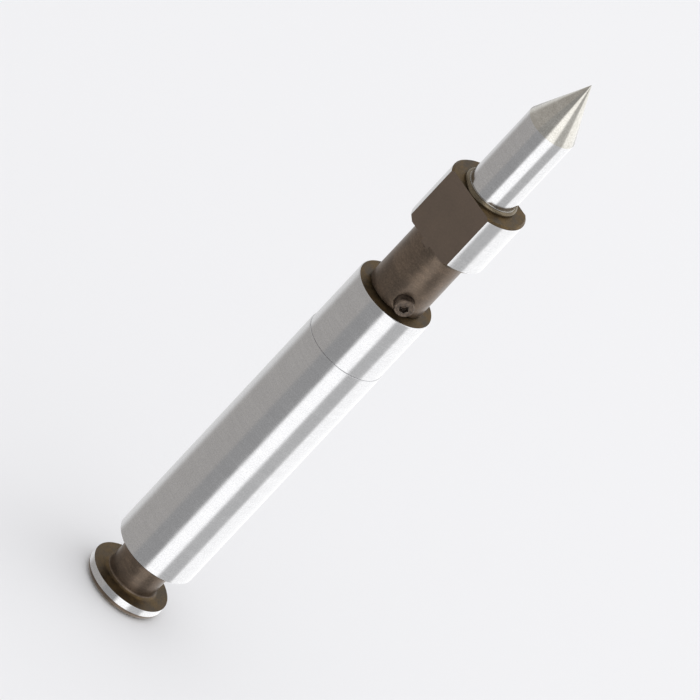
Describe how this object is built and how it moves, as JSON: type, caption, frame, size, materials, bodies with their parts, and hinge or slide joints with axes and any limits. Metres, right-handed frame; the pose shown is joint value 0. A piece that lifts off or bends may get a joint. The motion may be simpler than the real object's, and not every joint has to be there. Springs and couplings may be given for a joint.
{
  "type": "live center",
  "caption": "Slim live center with a straight ground shank, button tail, front bearing cap and a turning spindle with wrench flats and a long conical point.",
  "frame": {"origin": "middle of the tail button's flat end, on the axis, where the part stands", "axes": "+Z along the axis from the tail to the tip; the wrench flats face -Y and +Y"},
  "size_m": [0.02, 0.02, 0.1692],
  "materials": {
    "ground_steel": "cylindrically ground",
    "ground_cap": "ground outside, brown oxide on the face",
    "ground_point": "ground nose and cone, brown oxide shoulder",
    "dark_steel": "brown heat-treatment oxide, ground rim",
    "dark_spindle": "brown heat-treatment oxide, ground collar",
    "black_screw": "black oxide",
    "bearing_steel": "polished",
    "spring_steel": "satin",
    "brass_cage": "pressed",
    "rubber": "matt"
  },
  "bodies": {
    "housing": {"tail_button": "dark_steel", "shank_sleeve": "ground_steel", "front_bearing_cap": "ground_cap", "cap_o_ring": "rubber", "shaft_seal": "rubber", "needle_cup": "bearing_steel", "thrust_housing_washer": "bearing_steel", "spacer_tube": "spring_steel", "disc_spring_1": "spring_steel", "disc_spring_2": "spring_steel", "disc_spring_3": "spring_steel", "disc_spring_4": "spring_steel", "rear_outer_ring": "bearing_steel", "rear_shield_front": "spring_steel", "rear_shield_back": "spring_steel"},
    "spindle_group": {"spindle": "dark_spindle", "center_point": "ground_point", "point_lock_screw": "black_screw", "thrust_shaft_washer": "bearing_steel", "rear_inner_ring": "bearing_steel", "lock_washer": "spring_steel", "preload_nut": "black_screw", "jam_nut": "black_screw"},
    "needle_group": {"needle_cage": "brass_cage", "needle_rollers": "bearing_steel"},
    "thrust_group": {"thrust_cage": "brass_cage", "thrust_balls": "bearing_steel"},
    "rear_ball_group": {"rear_cage": "brass_cage", "rear_balls": "bearing_steel"}
  },
  "joints": [
    {"name": "spindle_spin", "type": "hinge", "parent": "housing", "child": "spindle_group", "pos_m": [0, 0, 0.0997], "axis": [0, 0, 1], "continuous": true},
    {"name": "needle_orbit", "type": "hinge", "parent": "housing", "child": "needle_group", "pos_m": [0, 0, 0.0891], "axis": [0, 0, 1], "continuous": true},
    {"name": "thrust_orbit", "type": "hinge", "parent": "housing", "child": "thrust_group", "pos_m": [0, 0, 0.0721], "axis": [0, 0, 1], "continuous": true},
    {"name": "rear_ball_orbit", "type": "hinge", "parent": "housing", "child": "rear_ball_group", "pos_m": [0, 0, 0.0348], "axis": [0, 0, 1], "continuous": true}
  ],
  "couplings": [
    {"joint": "needle_orbit", "follows": "spindle_spin", "ratio": 0.4348},
    {"joint": "thrust_orbit", "follows": "spindle_spin", "ratio": 0.5},
    {"joint": "rear_ball_orbit", "follows": "spindle_spin", "ratio": 0.3947}
  ]
}
